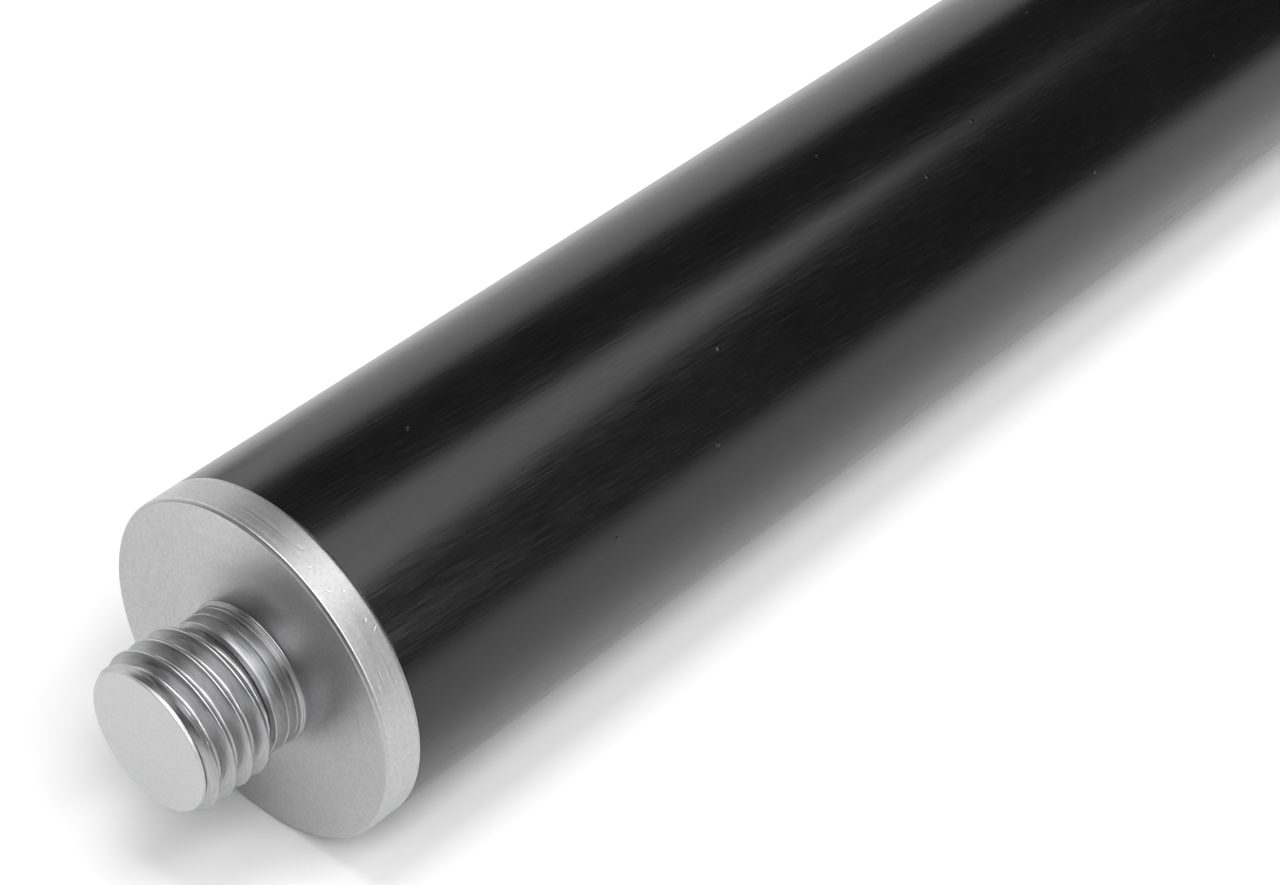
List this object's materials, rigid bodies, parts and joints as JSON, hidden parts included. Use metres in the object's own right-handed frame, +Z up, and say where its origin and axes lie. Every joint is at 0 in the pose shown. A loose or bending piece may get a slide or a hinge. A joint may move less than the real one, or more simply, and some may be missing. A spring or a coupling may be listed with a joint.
{
  "type": "ball screw assembly",
  "caption": "Ball screw assembly with a black thrust tube, a steel end plug with a threaded stud, a flanged ball nut and a flanged bearing unit with a keyed drive journal.",
  "frame": {"origin": "centre of the threaded stud's end face, on the screw axis", "axes": "+X along the screw axis, from the stud to the keyed drive journal; +Z up, square to the flats of both flanges; +Y across"},
  "size_m": [0.403, 0.06, 0.0498],
  "materials": {
    "black_nitride": "black nitrided steel, finely polished along its length",
    "turned_steel": "fine turned steel with a circular grain",
    "ground_steel": "hardened and ground",
    "nut_steel": "hardened and ground, a little darker than the screw",
    "bearing_steel": "polished bearing steel",
    "housing_steel": "black oxide with machined faces",
    "black_oxide": "black oxide screws",
    "brass": "turned brass",
    "rubber": "black nitrile rubber",
    "polyurethane": "cast polyurethane, satin",
    "acetal": "natural acetal, satin"
  },
  "bodies": {
    "bearing_unit": {"bearing_cover": "turned_steel", "bearing_housing": "housing_steel", "bearing_outer_ring_front": "bearing_steel", "bearing_outer_ring_rear": "bearing_steel", "cover_screw_1": "black_oxide", "cover_screw_2": "black_oxide", "cover_screw_3": "black_oxide", "cover_screw_4": "black_oxide", "front_oil_seal": "rubber", "rear_oil_seal": "rubber", "travel_stop_ring": "polyurethane"},
    "thrust_rod": {"ball_circuit_1": "bearing_steel", "ball_circuit_2": "bearing_steel", "ball_circuit_3": "bearing_steel", "ball_deflector_1": "nut_steel", "ball_deflector_2": "nut_steel", "ball_deflector_3": "nut_steel", "ball_nut": "nut_steel", "nut_grease_nipple": "brass", "nut_screw_1": "black_oxide", "nut_screw_2": "black_oxide", "nut_screw_3": "black_oxide", "nut_screw_4": "black_oxide", "nut_screw_5": "black_oxide", "nut_screw_6": "black_oxide", "nut_wiper_front": "acetal", "nut_wiper_rear": "acetal", "plug_o_ring": "rubber", "rod_end_plug": "turned_steel", "thrust_tube": "black_nitride"},
    "screw_shaft": {"ball_screw": "ground_steel", "bearing_inner_ring_front": "bearing_steel", "bearing_inner_ring_rear": "bearing_steel", "drive_key": "turned_steel", "front_collar": "turned_steel", "lock_nut": "black_oxide", "lock_nut_set_screw_1": "turned_steel", "lock_nut_set_screw_2": "turned_steel", "rear_collar": "turned_steel", "tip_guide_bush": "acetal", "tip_screw": "black_oxide", "tip_washer": "turned_steel"},
    "bearing_balls": {"bearing_ball_set_front": "bearing_steel", "bearing_ball_set_rear": "bearing_steel"}
  },
  "joints": [
    {"name": "rod_travel", "type": "slide", "parent": "bearing_unit", "child": "thrust_rod", "axis": [-1, 0, 0], "range_m": [-0.055, 0.09]},
    {"name": "screw_rotation", "type": "hinge", "parent": "bearing_unit", "child": "screw_shaft", "pos_m": [0.337, 0, 0], "axis": [1, 0, 0], "range_deg": [-3961, 6481]},
    {"name": "bearing_ball_rotation", "type": "hinge", "parent": "bearing_unit", "child": "bearing_balls", "pos_m": [0.337, 0, 0], "axis": [1, 0, 0], "range_deg": [-1585, 2593]}
  ],
  "couplings": [
    {"joint": "screw_rotation", "follows": "rod_travel", "rad_per_m": 1256.6},
    {"joint": "bearing_ball_rotation", "follows": "rod_travel", "rad_per_m": 502.65}
  ]
}
